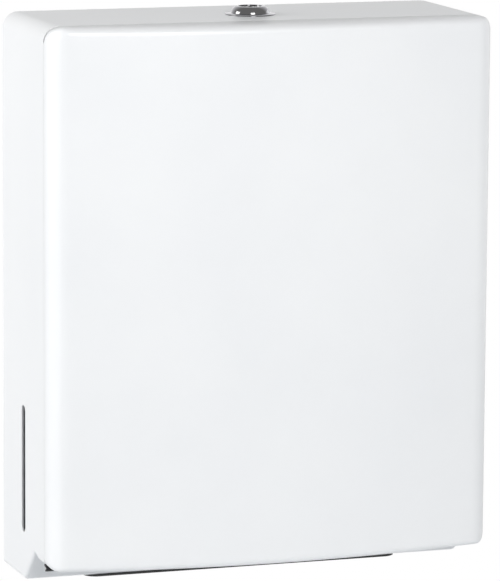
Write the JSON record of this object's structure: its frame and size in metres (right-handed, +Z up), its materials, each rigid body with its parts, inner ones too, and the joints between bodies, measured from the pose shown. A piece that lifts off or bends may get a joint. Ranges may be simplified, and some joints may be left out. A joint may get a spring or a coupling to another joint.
{
  "type": "paper towel dispenser",
  "caption": "Wall-mounted folded paper towel dispenser in white steel, with a bowed drop-front door, a key lock in the top, sight slots in the sides and a mouth underneath",
  "frame": {"origin": "centre of the four wall holes, on the back face", "axes": "+Z up, +Y out of the back towards the wall, the door faces -Y, +X to the right seen from the front"},
  "size_m": [0.275, 0.116, 0.3413],
  "materials": {
    "white_coat": "smooth powder coat",
    "black_plastic": "moulded",
    "hinge_black": "black oxide",
    "lock_chrome": "polished",
    "bright_steel": "zinc plated"
  },
  "bodies": {
    "cabinet": {"cabinet_wrap": "white_coat", "back_plate": "white_coat", "towel_tray": "white_coat", "mouth_insert": "black_plastic", "lock_body": "lock_chrome", "lock_washer": "bright_steel", "lock_nut": "bright_steel", "hinge_leaf_fixed": "hinge_black", "hinge_pin": "bright_steel", "tray_rivet_1": "bright_steel", "tray_rivet_2": "bright_steel", "tray_rivet_3": "bright_steel", "tray_rivet_4": "bright_steel"},
    "door": {"door_pan": "white_coat", "latch_bracket": "bright_steel", "hinge_leaf_door": "hinge_black", "door_rivet_1": "bright_steel", "door_rivet_2": "bright_steel", "door_rivet_3": "bright_steel", "door_rivet_4": "bright_steel"},
    "lock_core": {"lock_plug": "lock_chrome", "lock_cam": "bright_steel", "cam_screw": "bright_steel"}
  },
  "joints": [
    {"name": "door_hinge", "type": "hinge", "parent": "cabinet", "child": "door", "pos_m": [0, -0.0876, -0.15165], "axis": [1, 0, 0], "range_deg": [0, 160]},
    {"name": "lock_turn", "type": "hinge", "parent": "cabinet", "child": "lock_core", "pos_m": [0, -0.0525, 0.1525], "axis": [0, 0, 1], "range_deg": [-90, 0]}
  ]
}
